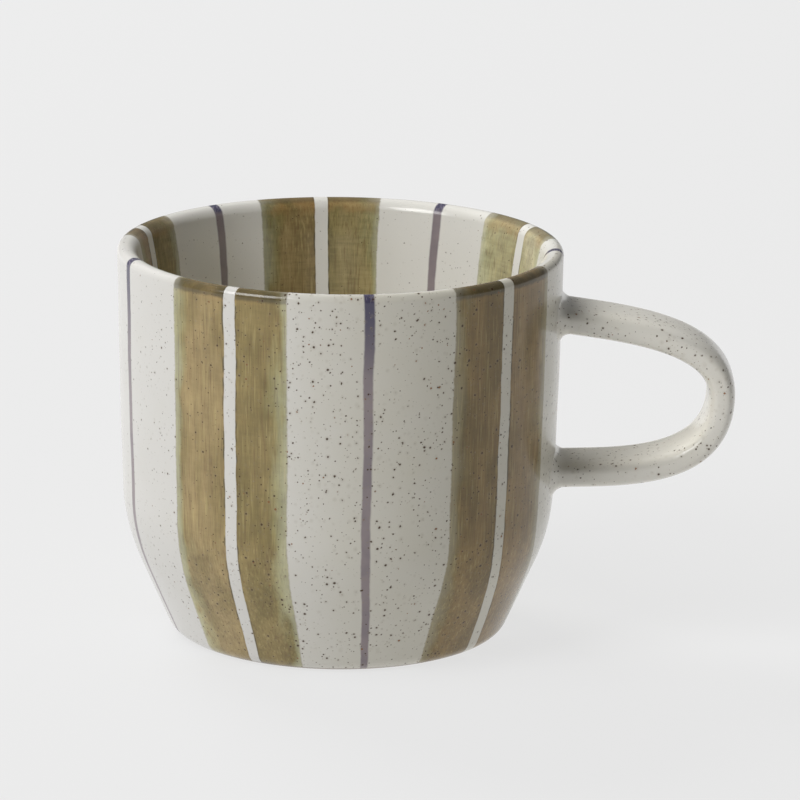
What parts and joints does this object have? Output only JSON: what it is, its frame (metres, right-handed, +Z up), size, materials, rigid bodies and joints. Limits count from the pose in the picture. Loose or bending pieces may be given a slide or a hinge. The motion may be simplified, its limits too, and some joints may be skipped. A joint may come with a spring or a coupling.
{
  "type": "ceramic mug",
  "caption": "Glazed stoneware mug: upright cup with a tapered base on a bare-clay foot ring, and a looped strap handle luted to one side.",
  "frame": {"origin": "on the table, below the middle of the mug's overall length, so the cup's axis is at x = -17.6 mm", "axes": "+X from the cup towards the handle, +Z up out of the mouth"},
  "size_m": [0.1252, 0.09, 0.08],
  "materials": {
    "cup_glaze": "satin speckled glaze with brushed stripes",
    "handle_glaze": "satin speckled glaze",
    "bare_clay": "unglazed fired clay"
  },
  "bodies": {
    "root": {"cup_body": "cup_glaze", "foot_ring": "bare_clay", "handle": "handle_glaze", "slip_joint_upper": "handle_glaze", "slip_joint_lower": "handle_glaze"}
  },
  "joints": []
}
